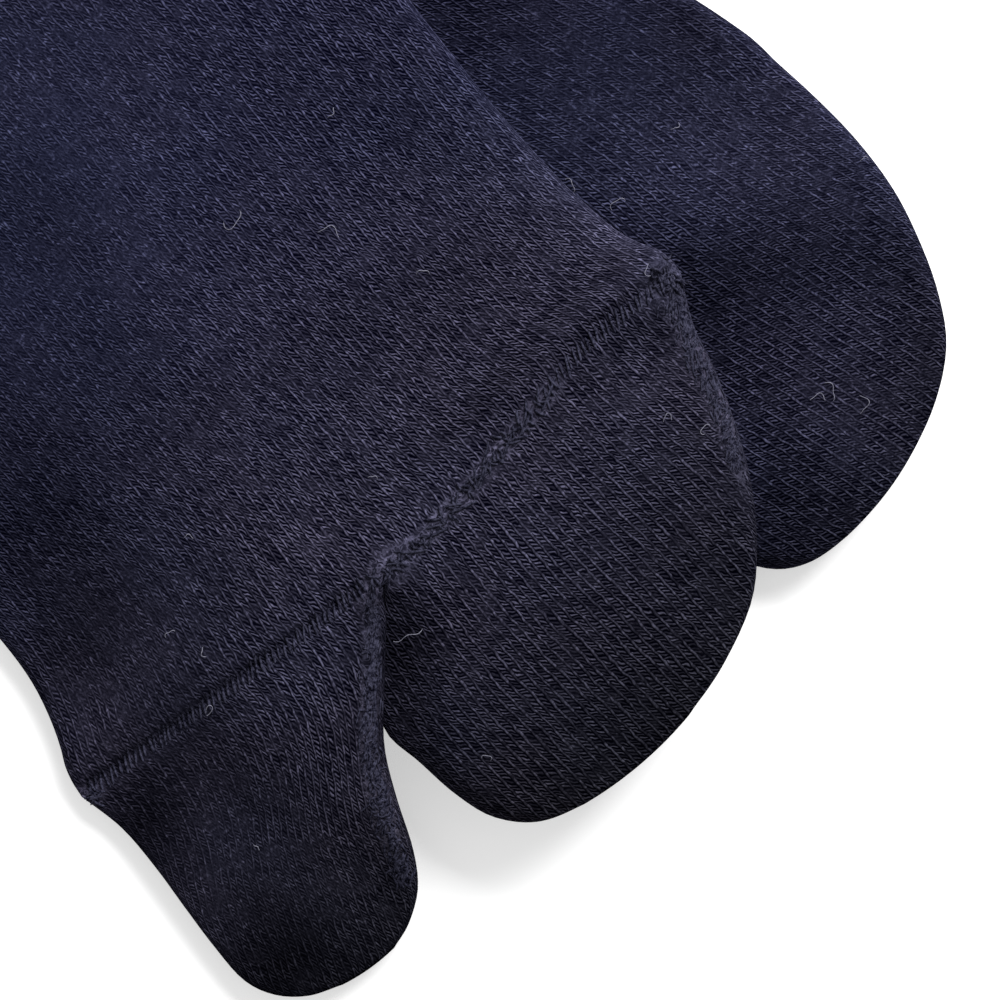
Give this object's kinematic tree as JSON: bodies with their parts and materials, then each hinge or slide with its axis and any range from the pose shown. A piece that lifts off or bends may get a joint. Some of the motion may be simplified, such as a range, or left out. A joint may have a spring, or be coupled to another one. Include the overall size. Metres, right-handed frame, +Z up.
{
  "type": "pair of tabi socks",
  "caption": "Pair of split-toe knitted tabi socks laid flat, one on the other sole to sole, toes of the lower one turned out to the side.",
  "frame": {"origin": "middle of the box of both socks, on the surface that they lie on", "axes": "+Y runs from the toes to the cuffs, +X to the little toe side of both socks, +Z up from the surface"},
  "size_m": [0.1208, 0.3386, 0.0176],
  "materials": {
    "plain_knit": "matt navy cotton stocking stitch",
    "toe_knit": "matt navy cotton stocking stitch, closer courses",
    "heel_knit": "matt navy cotton stocking stitch",
    "rib_knit": "matt navy cotton rib",
    "linking_yarn": "matt navy cotton linking stitch"
  },
  "bodies": {
    "root": {"left_foot_leg": "plain_knit", "left_cuff": "rib_knit", "left_heel": "heel_knit", "left_big_toe": "toe_knit", "left_four_toes": "toe_knit", "left_toe_seam": "linking_yarn", "right_foot_leg": "plain_knit", "right_cuff": "rib_knit", "right_heel": "heel_knit", "right_big_toe": "toe_knit", "right_four_toes": "toe_knit", "right_toe_seam": "linking_yarn"}
  },
  "joints": []
}
